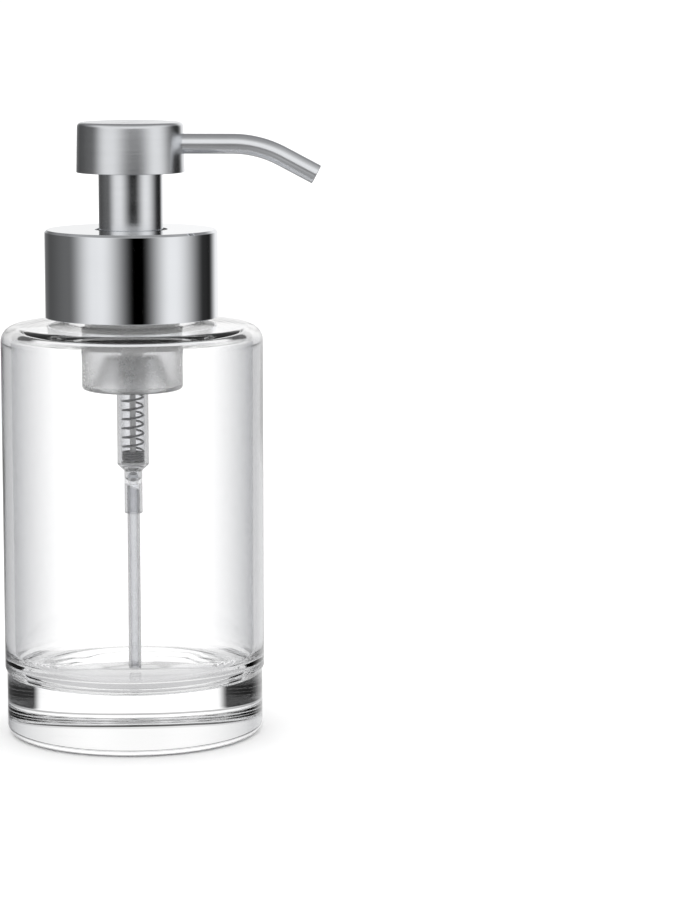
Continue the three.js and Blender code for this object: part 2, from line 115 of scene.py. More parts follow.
class Shader:
    # The node tree of a material or a world.
    def __init__(self, owner):
        owner.use_nodes = True
        self.owner, self.tree = owner, owner.node_tree
        self.tree.nodes.clear()

    def add(self, kind, settings=None, values=None):
        # Any node: its type, its settings (set first), then its sockets' values or links.
        node = self.tree.nodes.new(kind)
        for name, value in (settings or {}).items():
            if name == "stops":
                stops = node.color_ramp.elements
                while len(stops) < len(value):
                    stops.new(1)
                for stop, (place, tone) in zip(stops, value):
                    stop.position = place
                    stop.color = (tone, tone, tone, 1)
            elif name == "interpolation":
                node.color_ramp.interpolation = value
            else:
                setattr(node, name, value)
        for name, value in (values or {}).items():
            socket = node.inputs[name]
            if isinstance(value, Link):
                self.tree.links.new(value.socket, socket)
            else:
                socket.default_value = value
        return Link(self, node.outputs[0]) if node.outputs else node

    def maths(self, operation, *terms):
        return self.add("ShaderNodeMath", {"operation": operation}, dict(enumerate(terms)))

    def vector(self, operation, *terms):
        return self.add("ShaderNodeVectorMath", {"operation": operation}, dict(enumerate(terms)))

    def colour(self, factor, first, second):
        # Mixes two colours; inputs 6 and 7 of a Mix node are its colours, and output 2 their mix.
        node = self.add("ShaderNodeMix", {"data_type": "RGBA"}, {0: factor, 6: first, 7: second})
        return Link(self, node.socket.node.outputs[2])

    def ramp(self, stops, factor, interpolation="LINEAR"):
        return self.add("ShaderNodeValToRGB", {"stops": stops, "interpolation": interpolation},
                        {"Fac": factor})

    def place(self, scale=(1, 1, 1)):
        # Object coordinates in metres, stretched.
        here = self.add("ShaderNodeTexCoord").out("Object")
        return self.add("ShaderNodeMapping", None, {"Vector": here, "Scale": scale})

    def upright(self, vector):
        return self.add("ShaderNodeSeparateXYZ", None, {"Vector": vector}).out("Z")

    def facing(self):
        return self.add("ShaderNodeLayerWeight", None, {"Blend": 0.5}).out("Facing")

    def noise(self, scale, stretch=(1, 1, 1), detail=3, roughness=0.5):
        return self.add("ShaderNodeTexNoise", None, {
            "Vector": self.place(stretch), "Scale": scale, "Detail": detail, "Roughness": roughness})

    def bump(self, height, strength, distance):
        return self.add("ShaderNodeBump", None,
                        {"Height": height, "Strength": strength, "Distance": distance})

    def principled(self, values):
        return self.add("ShaderNodeBsdfPrincipled", None, values)

    def finish(self, shade):
        self.add("ShaderNodeOutputMaterial", None, {"Surface": shade})
        return self.owner


def newMaterial(name):
    return Shader(bpy.data.materials.new(name))


def toned(tint, factor=1):
    # A tint made lighter or darker, as a colour with alpha.
    return (*[min(channel * factor, 1) for channel in tint], 1)


def rounded(corners, steps=6):
    # A profile's corners, given as (radius, height, rounding), with each rounded corner replaced by an arc:
    # its centre lies on the bisector at rounding / sin(half angle), and it meets both sides tangentially. A
    # point just outside each end of an arc keeps the flat beside it flat in the shading.
    shortest, slackShare = 1e-6, 0.2
    places = [np.array(corner[:2], float) for corner in corners]
    points = []
    for index, corner in enumerate(corners):
        here, before, after = places[index], places[index - 1], places[(index + 1) % len(places)]
        radius = corner[2] if len(corner) > 2 else 0
        toBefore, toAfter = before - here, after - here
        lengthBefore, lengthAfter = np.linalg.norm(toBefore), np.linalg.norm(toAfter)
        if radius <= 0 or lengthBefore < shortest or lengthAfter < shortest:
            points.append(here)
            continue
        toBefore, toAfter = toBefore / lengthBefore, toAfter / lengthAfter
        half = np.arccos(np.clip(toBefore @ toAfter, -1, 1)) / 2
        reach = radius / np.tan(half)
        bisector = (toBefore + toAfter) / np.linalg.norm(toBefore + toAfter)
        centre = here + bisector * radius / np.sin(half)
        first, last = here + toBefore * reach, here + toAfter * reach
        start = atan2(*(first - centre)[::-1])
        sweep = (atan2(*(last - centre)[::-1]) - start + pi) % (2 * pi) - pi
        angles = start + sweep * np.linspace(0, 1, steps + 1)
        slack = slackShare * radius
        if lengthBefore > reach + 2 * slack:
            points.append(first + toBefore * slack)
        points.extend(centre + radius * np.stack([np.cos(angles), np.sin(angles)], axis=1))
        if lengthAfter > reach + 2 * slack:
            points.append(last + toAfter * slack)
    return np.array(points)


def arcPoints(r, z, radius, start, end, steps, rise=None):
    # Points (r + radius cos a, z + rise sin a) for angles a in degrees from start to end.
    angles = np.radians(np.linspace(start, end, steps + 1))
    rise = radius if rise is None else rise
    return np.stack([r + radius * np.cos(angles), z + rise * np.sin(angles)], axis=1)


def straight(start, end, count):
    # Evenly spaced points from start to end.
    share = np.linspace(0, 1, count)[:, None]
    return np.array(start) + share * (np.array(end, float) - np.array(start))


def skin(name, grid, closedRows):
    # A surface over a grid of points (rows, columns, 3), in millimetres. The columns close into rings, and
    # the rows close too when closedRows is true; otherwise the first and last rows are poles on the axis.
    weld, sharp = 1e-7, radians(35)
    rows, columns = grid.shape[:2]
    row, column = np.meshgrid(np.arange(rows if closedRows else rows - 1), np.arange(columns),
                              indexing="ij")
    nextRow, nextColumn = (row + 1) % rows, (column + 1) % columns
    faces = np.stack([row * columns + column, row * columns + nextColumn, nextRow * columns + nextColumn,
                      nextRow * columns + column], axis=-1).reshape(-1, 4)
    mesh = bpy.data.meshes.new(name)
    mesh.from_pydata((grid.reshape(-1, 3) * mm).tolist(), [], faces.tolist())
    body = bmesh.new()
    body.from_mesh(mesh)
    bmesh.ops.remove_doubles(body, verts=body.verts, dist=weld)
    if body.calc_volume(signed=True) < 0:
        bmesh.ops.reverse_faces(body, faces=body.faces)
    body.to_mesh(mesh)
    body.free()
    mesh.polygons.foreach_set("use_smooth", np.ones(len(mesh.polygons), bool))
    mesh.set_sharp_from_angle(angle=sharp)
    piece = bpy.data.objects.new(name, mesh)
    bpy.context.collection.objects.link(piece)
    return piece


def turned(name, profile, sides=128, change=None):
    # A profile turned about the Z axis: points (r cos a, r sin a, z) for each profile point (r, z) and each
    # of the angles a. change(grid) may move them before they are skinned.
    profile = np.asarray(profile, float)
    angle = np.linspace(0, 2 * pi, sides, endpoint=False)
    radius, height = profile[:, :1], profile[:, 1:2]
    grid = np.stack([radius * np.cos(angle), radius * np.sin(angle), height + 0 * angle], axis=-1)
    if change:
        grid = change(grid)
    return skin(name, grid, closedRows=profile[0][0] > 1e-6)


def alongPath(name, profile, path, sides=48, closedRows=True):
    # A profile of (distance along the path, radius) pairs carried round a path: each point is
    # path(distance) + radius (cos a across + sin a up), with the path's own across and up at that distance.
    profile = np.asarray(profile, float)
    angle = np.linspace(0, 2 * pi, sides, endpoint=False)[None, :, None]
    centre, across, up = (part[:, None, :] for part in path(profile[:, 0]))
    grid = centre + profile[:, 1][:, None, None] * (np.cos(angle) * across + np.sin(angle) * up)
    return skin(name, grid, closedRows)


def threadRise(grid, wall, thread):
    # How far a thread's ridge stands off the wall of that radius at each point: a smoothed trapezium of the
    # distance from the helix start + pitch angle / full turn, faded out over both ends of its length.
    reach = np.hypot(grid[..., 0], grid[..., 1])
    turn = np.arctan2(grid[..., 1], grid[..., 0]) % (2 * pi) / (2 * pi)
    off = np.abs(grid[..., 2] - thread["start"] - thread["pitch"] * turn)
    flank = np.clip((thread["foot"] - off) / (thread["foot"] - thread["crest"]), 0, 1)
    fade = np.clip(np.minimum(turn, thread["turns"] - turn) / thread["fade"], 0, 1)
    rise = thread["height"] * flank * flank * (3 - 2 * flank) * fade
    return np.where(np.abs(reach - wall) < 0.01, rise, 0)


def pushOut(grid, rise):
    # Moves each point away from the Z axis by its rise.
    reach = np.hypot(grid[..., 0], grid[..., 1])
    grid[..., :2] *= ((reach + rise) / np.maximum(reach, 1e-9))[..., None]


def placePiece(piece, material, body, slot, *nodes):
    piece.data.materials.append(material)
    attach(piece, body)
    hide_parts(*nodes)


def makeGlass():
    # Clear glass. Slow waves from the mould bend what is seen through it. The upright walls are painted grey
    # towards their edges, a painted shade where sight runs a long way inside them, and the flat underside is
    # painted dim, a painted shadow of the table it stands on.
    # painted shade and painted shadow: a grey for the walls' edges and a dim grey for the flat underside
    glass = {"clear": (1, 1, 1, 1), "edge": (0.24, 0.25, 0.275, 1), "under": (0.36, 0.36, 0.37, 1),
             "ior": 1.5, "edgeShadeStart": 0.08, "edgeShadeSpan": 0.92, "edgeShadePower": 3, "underTop": 0.000375,
             "underFade": 0.00025, "waveSize": 55, "waveStretch": 0.35, "waveStrength": 0.25,
             "waveDepth": 0.0003, "smudgeSize": 30, "smudgeStart": 0.62, "smudge": 0.012}
    shader = newMaterial("clearGlass")
    waves = shader.noise(glass["waveSize"], (1, 1, glass["waveStretch"]), detail=1)
    smudges = shader.noise(glass["smudgeSize"], detail=4, roughness=0.6)
    tilt = shader.upright(shader.add("ShaderNodeNewGeometry").out("Normal"))
    # painted shade: a mask that greys the upright walls towards their edges as they turn away from the eye
    edge = ((shader.facing() - glass["edgeShadeStart"]) / glass["edgeShadeSpan"]).clamped()
    wallEdgeShade = edge * (1 - tilt * tilt) ** glass["edgeShadePower"]
    # painted shadow: a mask over the flat underside, where the table's shadow would fall
    underside = ((glass["underTop"] - shader.upright(shader.place())) / glass["underFade"]).clamped()
    tint = shader.colour(underside, shader.colour(wallEdgeShade, glass["clear"], glass["edge"]), glass["under"])
    return shader.finish(shader.principled({
        "Base Color": tint, "IOR": glass["ior"], "Transmission Weight": 1,
        "Roughness": (smudges - glass["smudgeStart"]).clamped() * glass["smudge"],
        "Normal": shader.bump(waves, glass["waveStrength"], glass["waveDepth"])}))


def makeBrushed(name, roughness):
    # Steel brushed round its axis: noise squeezed along Z leaves fine rings that shift gloss, tone and
    # slope.
    steel = {"tone": 0.76, "darker": 0.9, "lighter": 1.1, "spread": 0.5, "rings": (90, 90, 5200),
             "ringTone": 0.6, "ringGloss": 0.12, "ringDepth": 0.000006, "patchSize": 70, "patchStretch": 6,
             "patchTone": 0.4, "patchGloss": 0.05}
    shader = newMaterial(name)
    rings = shader.noise(1, steel["rings"], detail=3, roughness=0.7)
    patches = shader.noise(steel["patchSize"], (1, 1, steel["patchStretch"]), detail=3)
    tint = [channel * steel["tone"] for channel in steelTint]
    shade = shader.colour(rings * steel["ringTone"] + patches * steel["patchTone"],
                          toned(tint, steel["darker"]), toned(tint, steel["lighter"]))
    gloss = (rings - 0.5) * steel["ringGloss"] + (patches - 0.5) * steel["patchGloss"]
    return shader.finish(shader.principled({
        "Base Color": shade, "Metallic": 1, "Anisotropic": steel["spread"], "Anisotropic Rotation": 0.25,
        "Roughness": roughness + gloss, "Normal": shader.bump(rings, 0.5, steel["ringDepth"])}))


def makeSatin(name, tone, roughness):
    # Satin steel: fine grain in every direction, and slow clouds of tone.
    steel = {"grainSize": 1300, "grainGloss": 0.08, "cloudSize": 90, "cloudGloss": 0.05,
             "cloudDepth": 0.00001, "darker": 0.93, "lighter": 1.05}
    shader = newMaterial(name)
    grain = shader.noise(steel["grainSize"], detail=2)
    cloud = shader.noise(steel["cloudSize"], detail=3)
    tint = [channel * tone for channel in steelTint]
    gloss = (grain - 0.5) * steel["grainGloss"] + (cloud - 0.5) * steel["cloudGloss"]
    return shader.finish(shader.principled({
        "Base Color": shader.colour(cloud, toned(tint, steel["darker"]), toned(tint, steel["lighter"])),
        "Metallic": 1, "Roughness": roughness + gloss,
        "Normal": shader.bump(cloud, 0.05, steel["cloudDepth"])}))


def makePolished():
    # Polished steel with a trace of the lathe's lines and a few faint wipe marks.
    steel = {"tint": (0.81, 0.825, 0.85), "darker": 0.97, "lighter": 1.02, "roughness": 0.045,
             "spread": 0.3, "rings": (60, 60, 3600), "ringDepth": 0.000003, "wipeSize": 45,
             "wipeStretch": 2.5, "gloss": 0.03}
    shader = newMaterial("polishedSteel")
    rings = shader.noise(1, steel["rings"], detail=2, roughness=0.6)
    wipes = shader.noise(steel["wipeSize"], (1, 1, steel["wipeStretch"]), detail=4, roughness=0.62)
    gloss = (rings - 0.5) * steel["gloss"] + (wipes - 0.5) * steel["gloss"]
    return shader.finish(shader.principled({
        "Base Color": shader.colour(wipes, toned(steel["tint"], steel["darker"]),
                                    toned(steel["tint"], steel["lighter"])),
        "Metallic": 1, "Anisotropic": steel["spread"], "Anisotropic Rotation": 0.25,
        "Roughness": steel["roughness"] + gloss, "Normal": shader.bump(rings, 0.15, steel["ringDepth"])}))


def makeTranslucent(name, look):
    # Natural polypropylene: frosted above a level, clearer and smoother under it, where its edges are
    # painted darker, a painted shade, with a skin that the moulding leaves faintly uneven.
    # painted shade: the edge tone is how dark the clear part's edges are painted
    moulding = {"flowSize": 120, "flowStretch": 0.3, "flowTone": 0.96, "flowGloss": 0.03, "grainSize": 1400,
                "grainGloss": 0.02, "grainDepth": 0.000005, "edgeShadeTone": 0.35, "fade": 0.0005, "ior": 1.49,
                "clearShare": 0.9}
    shader = newMaterial(name)
    flow = shader.noise(moulding["flowSize"], (1, 1, moulding["flowStretch"]), detail=4, roughness=0.6)
    grain = shader.noise(moulding["grainSize"], detail=2)
    uneven = (grain - 0.5) * moulding["grainGloss"] + (flow - 0.5) * moulding["flowGloss"]
    slope = shader.bump(grain, 0.05, moulding["grainDepth"])
    clear = shader.principled({
        # painted shade: the clear part's colour darkens towards its edges as they turn away from the eye
        "Base Color": shader.colour(shader.facing(), toned(look["clear"]),
                                    toned(look["clear"], moulding["edgeShadeTone"])),
        "IOR": moulding["ior"], "Transmission Weight": 1, "Roughness": uneven + look["clearRoughness"],
        "Normal": slope})
    frosted = shader.principled({
        "Base Color": shader.colour(flow, toned(look["frosted"], moulding["flowTone"]),
                                    toned(look["frosted"])),
        "IOR": moulding["ior"], "Transmission Weight": moulding["clearShare"],
        "Roughness": uneven + look["frostedRoughness"], "Normal": slope})
    share = ((shader.upright(shader.place()) - look["level"]) / moulding["fade"]).clamped()
    return shader.finish(shader.add("ShaderNodeMixShader", None, {0: share, 1: clear, 2: frosted}))


def makePlastic(name, tint, roughness, grainDepth=0.00001):
    # Moulded plastic: a fine spark-eroded grain and slow changes of tone and gloss.
    moulding = {"grainSize": 1800, "grainGloss": 0.12, "flowSize": 90, "flowGloss": 0.08, "darker": 0.94,
                "lighter": 1.04, "ior": 1.49}
    shader = newMaterial(name)
    grain = shader.noise(moulding["grainSize"], detail=3)
    flow = shader.noise(moulding["flowSize"], detail=3)
    gloss = (grain - 0.5) * moulding["grainGloss"] + (flow - 0.5) * moulding["flowGloss"]
    return shader.finish(shader.principled({
        "Base Color": shader.colour(flow, toned(tint, moulding["darker"]),
                                    toned(tint, moulding["lighter"])),
        "IOR": moulding["ior"], "Roughness": roughness + gloss,
        "Normal": shader.bump(grain, 0.2, grainDepth)}))


def makeWire():
    # Drawn spring wire: streaks along its length and a faint oxide tone.
    wire = {"dark": (0.05, 0.05, 0.056, 1), "light": (0.17, 0.175, 0.19, 1), "roughness": 0.3,
            "streakSize": 900, "streakStretch": 3, "streakGloss": 0.2, "streakDepth": 0.000008}
    shader = newMaterial("springWire")
    streaks = shader.noise(wire["streakSize"], (1, 1, wire["streakStretch"]), detail=4, roughness=0.7)
    return shader.finish(shader.principled({
        "Base Color": shader.colour(streaks, wire["dark"], wire["light"]), "Metallic": 1,
        "Roughness": wire["roughness"] + (streaks - 0.5) * wire["streakGloss"],
        "Normal": shader.bump(streaks, 0.2, wire["streakDepth"])}))


clearGlass = makeGlass()
brushedHead = makeBrushed("brushedHead", 0.23)
brushedNeck = makeBrushed("brushedNeck", 0.16)
satinSpout = makeSatin("satinSpout", 0.84, 0.22)
polishedSteel = makePolished()
springWire = makeWire()
groundBall = makeSatin("groundBall", 0.6, 0.12)
frostedCup = makeTranslucent("frostedPlastic", {
    "frosted": (0.985, 0.988, 0.995), "frostedRoughness": 0.27, "clear": (0.84, 0.845, 0.86),
    "clearRoughness": 0.1, "level": 0.1085})
tubePlastic = makeTranslucent("tubePlastic", {
    "frosted": (0.9, 0.9, 0.9), "frostedRoughness": 0.2, "clear": (0.78, 0.785, 0.8),
    "clearRoughness": 0.16, "level": cadBox[1][2]})  # its level is the object's top, so all of it is clear
whitePlastic = makePlastic("whitePlastic", (0.91, 0.91, 0.9), 0.42)
greyPlastic = makePlastic("greyPlastic", (0.05, 0.05, 0.053), 0.5)
sealRubber = makePlastic("sealRubber", (0.55, 0.54, 0.51), 0.7, 0.00002)
print("materials made")


def makeBottle():
    # The outside runs up from the underside over the heel, step, wall, shoulder and neck to the rim. The
    # inside runs down again, round a quarter ellipse into a straight slope and the flat floor.
    size = {"wall": 3.2, "heel": 3, "baseInset": 0.6, "stepLevel": 20.3, "stepHalf": 0.8,
            "stepRounding": 0.9, "floor": 17, "floorRadius": 25, "slopeRadius": 31, "slopeTop": 19.8,
            "sweepTop": 27.5, "shoulder": 5, "shoulderTop": 129, "underside": 126, "mouthUnderside": 127.3,
            "corner": 2.4, "mouth": 3.5, "neck": 20.3, "bore": 18, "neckFoot": 132.8, "neckFillet": 2.5,
            "rim": 0.8}
    ripple = {"height": 0.13, "rings": 14, "wobble": [(1.3, 3, 1), (0.9, 8, 2.3), (0.5, 17, 0.4)]}
    thread = {**screwThread, "turns": 0.95, "foot": 1.25, "crest": 0.55, "height": 1.3}
    radius, _, high = span("glass_bottle")
    base, inside = radius - size["baseInset"], radius - size["wall"]
    heel, shoulder, neck, bore, rim = (size[part] for part in ("heel", "shoulder", "neck", "bore", "rim"))
    fillet, mouth, corner, sweep = (size[part] for part in ("neckFillet", "mouth", "corner", "sweepTop"))
    stepFoot, stepTop = size["stepLevel"] - size["stepHalf"], size["stepLevel"] + size["stepHalf"]
    guard, wallGuard = 2, 2.1  # how far from a curve the rows lie that keep the flat beside it flat
    outer = np.concatenate([
        [[0, 0], [base - heel - guard, 0], [base - heel - 0.5, 0]],
        arcPoints(base - heel, heel, heel, -90, 0, 14),
        [[base, stepFoot - guard]],
        rounded([(base, stepFoot - 2 * guard), (base, stepFoot, size["stepRounding"]),
                 (radius, stepTop, size["stepRounding"]), (radius, stepTop + 2 * guard)], 8)[1:-1],
        [[radius, stepTop + wallGuard]],
        arcPoints(radius - shoulder, size["shoulderTop"] - shoulder, shoulder, 0, 86, 16),
        arcPoints(neck + fillet, size["neckFoot"], fillet, 266, 180, 8),
        straight((neck, size["neckFoot"] + 0.9), (neck, high - rim - 0.1), 60),
        arcPoints(neck - rim, high - rim, rim, 0, 90, 5)])
    inner = np.concatenate([
        arcPoints(bore + rim, high - rim, rim, 90, 180, 5),
        [[bore, high - rim - 1], [bore, size["mouthUnderside"] + mouth + 1]],
        arcPoints(bore + mouth, size["mouthUnderside"] + mouth, mouth, 180, 265, 10),
        arcPoints(inside - corner, size["underside"] - corner, corner, 85, 0, 10),
        [[inside, size["underside"] - corner - 1.5], [inside, 60], [inside, sweep + guard]],
        arcPoints(size["slopeRadius"], sweep, inside - size["slopeRadius"], 0, -90, 22,
                  sweep - size["slopeTop"]),
        straight((size["slopeRadius"] - 0.2, size["slopeTop"] - 0.12),
                 (size["floorRadius"] + 0.2, size["floor"] + 0.12), 24),
        [[size["floorRadius"] - 0.3, size["floor"]], [12, size["floor"]], [0, size["floor"]]]])

    def change(grid):
        # The thread stands out of the neck. The slope inside carries uneven soft rings, as pressed glass
        # does: z += height sin(rings s + wobble) sin(pi s) for the share s of the way up the slope, where
        # wobble is a sum of swing sin(count a + start) over the angle a.
        rise = threadRise(grid, neck, thread)
        pushOut(grid, np.where(grid[..., 2] > size["neckFoot"], rise, 0))
        reach = np.hypot(grid[..., 0], grid[..., 1])
        angle = np.arctan2(grid[..., 1], grid[..., 0])
        share = (reach - size["floorRadius"]) / (size["slopeRadius"] - size["floorRadius"])
        inBottle = (grid[..., 2] > size["floor"] - 0.01) & (grid[..., 2] < size["slopeTop"])
        wobble = sum(swing * np.sin(count * angle + start) for swing, count, start in ripple["wobble"])
        wave = ripple["height"] * np.sin(ripple["rings"] * share + wobble)
        wave = wave * np.sin(pi * np.clip(share, 0, 1))
        grid[..., 2] += np.where(inBottle & (share > 0) & (share < 1), wave, 0)
        return grid

    bottle = turned("bottle", np.concatenate([outer, inner]), 256, change)
    placePiece(bottle, clearGlass, "bottle", "clear_glass", "glass_bottle")


makeBottle()
print("bottle made")


def makeCollar():
    # A polished shell with a bevelled top edge, and the dark bush that lines its hole round the sleeve.
    size = {"wall": 0.85, "bevel": 0.75, "bevelEdge": 0.12, "hole": 11.3}
    radius, low, high = span("collar_shell")
    inside, underside = radius - size["wall"], high - size["wall"]
    shell = turned("collarShell", rounded([
        (radius, low, size["bevelEdge"]), (radius, high - size["bevel"], size["bevelEdge"]),
        (radius - size["bevel"], high, size["bevelEdge"]), (size["hole"], high, 0.25),
        (size["hole"], underside, 0.1), (inside, underside, 0.3), (inside, low, size["bevelEdge"])], 5),
        192)
    placePiece(shell, polishedSteel, "collar", "polished_metal", "collar_shell")

    bushSize = {"flange": 0.7, "holeGap": 0.15, "sleeveGap": 0.15}
    bushOuter, bushLow, bushHigh = span("collar_bush")
    barrel = size["hole"] - bushSize["holeGap"]
    bore = span("neck_sleeve")[0] + bushSize["sleeveGap"]
    bush = turned("collarBush", rounded([
        (bushOuter, bushLow, 0.1), (bushOuter, bushLow + bushSize["flange"], 0.1),
        (barrel, bushLow + bushSize["flange"]), (barrel, bushHigh, 0.2), (bore, bushHigh, 0.2),
        (bore, bushLow, 0.1)], 4), 128)
    placePiece(bush, greyPlastic, "collar", "dark_plastic", "collar_bush")


def makeScrewCap():
    # A cup turned over: a plate with a hole and a raised rim round it, and a wall that carries the thread.
    size = {"root": 22.1, "wall": 1.9, "plateLow": 151.6, "plateHigh": 153.4, "rimDrop": 0.9,
            "rimWidth": 1.3, "sleeveGap": 0.5, "threadDrop": 1.57, "edge": 0.2, "rows": 70}
    thread = {**screwThread, "start": screwThread["start"] - size["threadDrop"], "turns": 0.9, "foot": 0.7,
              "crest": 0.4, "height": 1.15}
    radius, low, high = span("screw_cap")
    root, plateLow, plateHigh, edge = (size[part] for part in ("root", "plateLow", "plateHigh", "edge"))
    hole, inside = span("neck_sleeve")[0] + size["sleeveGap"], radius - size["wall"]
    rimOuter, rimTop = hole + size["rimWidth"], high - size["rimDrop"]
    profile = np.concatenate([
        rounded([(root, low), (radius, low, edge), (radius, high, edge), (inside, high, edge),
                 (inside, plateHigh, 0.4), (rimOuter, plateHigh, 0.3), (rimOuter, rimTop, edge),
                 (hole, rimTop, edge), (hole, plateLow, edge), (root, plateLow)], 4)[1:],
        straight((root, plateLow - 0.3), (root, low + 0.3), size["rows"]), [[root, low]]])

    def change(grid):
        # The thread stands in from the cap's inner wall.
        pushOut(grid, -threadRise(grid, root, thread))
        return grid

    cap = turned("screwCap", profile, 160, change)
    placePiece(cap, whitePlastic, "collar", "white_plastic", "screw_cap")


makeCollar()
makeScrewCap()
print("collar made")


def makeHousing():
    # One moulding: a flange, the wide air cylinder with a hollow boss in its floor, the narrow liquid
    # cylinder, the ball's seat and the dip tube's socket.
    size = {"air": 15.8, "airBore": 14.6, "airBottom": 108.5, "airFloor": 109.8, "bossFoot": 12.4,
            "bossHead": 8.2, "bossTop": 119.5, "skin": 1.2, "liquid": 4.95, "liquidBore": 3.85,
            "liquidFloor": 84.7, "socket": 2.82, "socketTop": 82.7, "seat": 78.5, "tubeBore": 1.95,
            "tubeGap": 0.05, "inlet": 1.1, "flangeBottom": 148.7}
    flange, low, high = span("pump_housing")
    skinned = size["bossTop"] - size["skin"]
    housing = turned("pumpHousing", rounded([
        (size["socket"], low, 0.25), (size["socket"], size["socketTop"], 0.3),
        (size["liquid"], size["liquidFloor"], 0.8), (size["liquid"], skinned, 0.3),
        (size["bossHead"] - size["skin"], skinned, 0.5),
        (size["bossFoot"] - size["skin"], size["airBottom"], 0.5), (size["air"], size["airBottom"], 1.1),
        (size["air"], size["flangeBottom"], 0.4), (flange, size["flangeBottom"], 0.2), (flange, high, 0.2),
        (size["airBore"], high, 0.2), (size["airBore"], size["airFloor"], 0.6),
        (size["bossFoot"], size["airFloor"], 0.5), (size["bossHead"], size["bossTop"], 0.6),
        (size["liquidBore"], size["bossTop"], 0.3), (size["liquidBore"], size["liquidFloor"], 0.3),
        (size["tubeBore"], size["liquidFloor"], 0.15), (size["tubeBore"], size["seat"] + 2),
        (size["inlet"], size["seat"] + 1, 0.1), (size["inlet"], size["seat"], 0.05),
        (size["tubeBore"] + size["tubeGap"], size["seat"], 0.05),
        (size["tubeBore"] + size["tubeGap"], low, 0.1)], 6), 160)
    placePiece(housing, frostedCup, "pump", "frosted_plastic", "pump_housing")


def makeDipTube():
    size = {"bore": 1.3, "slant": 0.38, "slantReach": 2}
    radius, low, high = span("dip_tube")
    top = high - size["slant"] * radius

    def change(grid):
        # The top is cut on a slant: z falls by slant times x.
        nearTop = grid[..., 2] > top - size["slantReach"]
        grid[..., 2] -= np.where(nearTop, size["slant"] * grid[..., 0], 0)
        return grid

    tube = turned("dipTube", rounded([
        (radius, low, 0.1), (radius, top, 0.06), (size["bore"], top, 0.06), (size["bore"], low, 0.1)], 3),
        64, change)
    placePiece(tube, tubePlastic, "pump", "frosted_plastic", "dip_tube")


def makeSpring():
    # The wire's centre is (R cos a, R sin a, z(turn)), where z climbs by closedPitch a turn in the closed
    # ends and by the open pitch between them.
    size = {"wire": 0.35, "closedPitch": 0.72, "closedLow": 4, "closedHigh": 2, "open": 8,
            "stepsPerTurn": 40}
    outer, low, high = span("return_spring")
    wire, closedLow, opened = size["wire"], size["closedLow"], size["open"]
    middle = outer - wire
    closed = closedLow + size["closedHigh"]
    turns = closed + opened
    openPitch = (high - low - 2 * wire - closed * size["closedPitch"]) / opened

    def helix(turn):
        openTurn = np.clip(turn - closedLow, 0, opened)
        height = low + wire + (turn - openTurn) * size["closedPitch"] + openTurn * openPitch
        angle = 2 * pi * turn
        zero = 0 * angle
        out = np.stack([np.cos(angle), np.sin(angle), zero], axis=1)
        centre = middle * out + np.stack([zero, zero, height], axis=1)
        return centre, out, np.stack([zero, zero, zero + 1], axis=1)

    along = np.linspace(0, turns, turns * size["stepsPerTurn"] + 1)
    profile = np.stack([along, np.full(len(along), wire)], axis=1)
    profile = np.concatenate([[[0, 0]], profile, [[turns, 0]]])
    spring = alongPath("returnSpring", profile, helix, 12, closedRows=False)
    placePiece(spring, springWire, "pump", "spring_steel", "return_spring")
    travel = next(joint["range_m"][1] for joint in frame["joints"] if joint["name"] == "head_press")
    1 - travel / ((high - low) * mm)
    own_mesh(spring)


def makeGasket():
    # A flat ring with rounded edges.
    size = {"inner": 16.1, "edge": 0.25}
    outer, low, high = span("rim_gasket")
    ring = [(outer, low), (outer, high), (size["inner"], high), (size["inner"], low)]
    gasket = turned("rimGasket", rounded([(*corner, size["edge"]) for corner in ring], 4), 128)
    placePiece(gasket, sealRubber, "seal", "soft_rubber", "rim_gasket")


def makeBall():
    # A half circle turned about the Z axis.
    radius, low, high = span("inlet_ball")
    outline = arcPoints(0, (low + high) / 2, radius, -90, 90, 24)
    outline[[0, -1], 0] = 0  # both poles exactly on the axis
    placePiece(turned("inletBall", outline, 48), groundBall, "inlet_valve", "steel_ball", "inlet_ball")


def makeAirPiston():
    # A two-lipped skirt that runs in the air cylinder, a sloping web, and a hub round the stem.
    size = {"lipWidth": 0.9, "wall": 1.3, "waist": 0.3, "lowerLip": 2, "upperLip": 4, "lipTop": 2,
            "webOuter": 134.7, "webInner": 136.5, "web": 1.6, "hubFoot": 133.4, "hub": 7.8, "hubTop": 7.6,
            "bore": 6.3}
    lip, low, high = span("air_piston")
    inside, edge, waist = lip - size["wall"], lip - size["lipWidth"], lip - size["waist"]
    piston = turned("airPiston", rounded([
        (edge, low, 0.2), (lip, low, 0.3), (waist, low + size["lowerLip"], 0.5),
        (waist, high - size["upperLip"], 0.5), (lip, high - size["lipTop"], 0.3),
        (edge, high - size["lipTop"], 0.2), (inside, size["webOuter"], 0.6),
        (size["hub"], size["webInner"], 0.5), (size["hubTop"], high, 0.3), (size["bore"], high, 0.2),
        (size["bore"], size["hubFoot"], 0.2), (size["hub"], size["webInner"] - size["web"], 0.5),
        (inside, size["webOuter"] - size["web"], 0.3)], 5), 128)
    placePiece(piston, whitePlastic, "plunger", "white_plastic", "air_piston")


def makeLiquidPiston():
    # Two thin lips that wipe the liquid cylinder, and a sleeve that fits inside the stem.
    size = {"skirtBore": 3.2, "waist": 0.25, "stem": 2.65, "top": 2.3, "cone": 1.5, "bore": 1.3}
    lip, low, high = span("liquid_piston")
    piston = turned("liquidPiston", rounded([
        (size["skirtBore"], low, 0.2), (lip, low + 0.4, 0.1), (lip - size["waist"], low + 1.8, 0.3),
        (lip, low + 3.6, 0.1), (lip, low + 4.6, 0.1), (size["stem"], low + 4.8, 0.1),
        (size["stem"], high, 0.1), (size["top"], high), (size["bore"], high - size["cone"], 0.1),
        (size["bore"], low, 0.1)], 4), 96)
    placePiece(piston, whitePlastic, "plunger", "white_plastic", "liquid_piston")


makeHousing()
makeDipTube()
makeSpring()
makeGasket()
makeBall()
makeAirPiston()
makeLiquidPiston()
print("pump made")


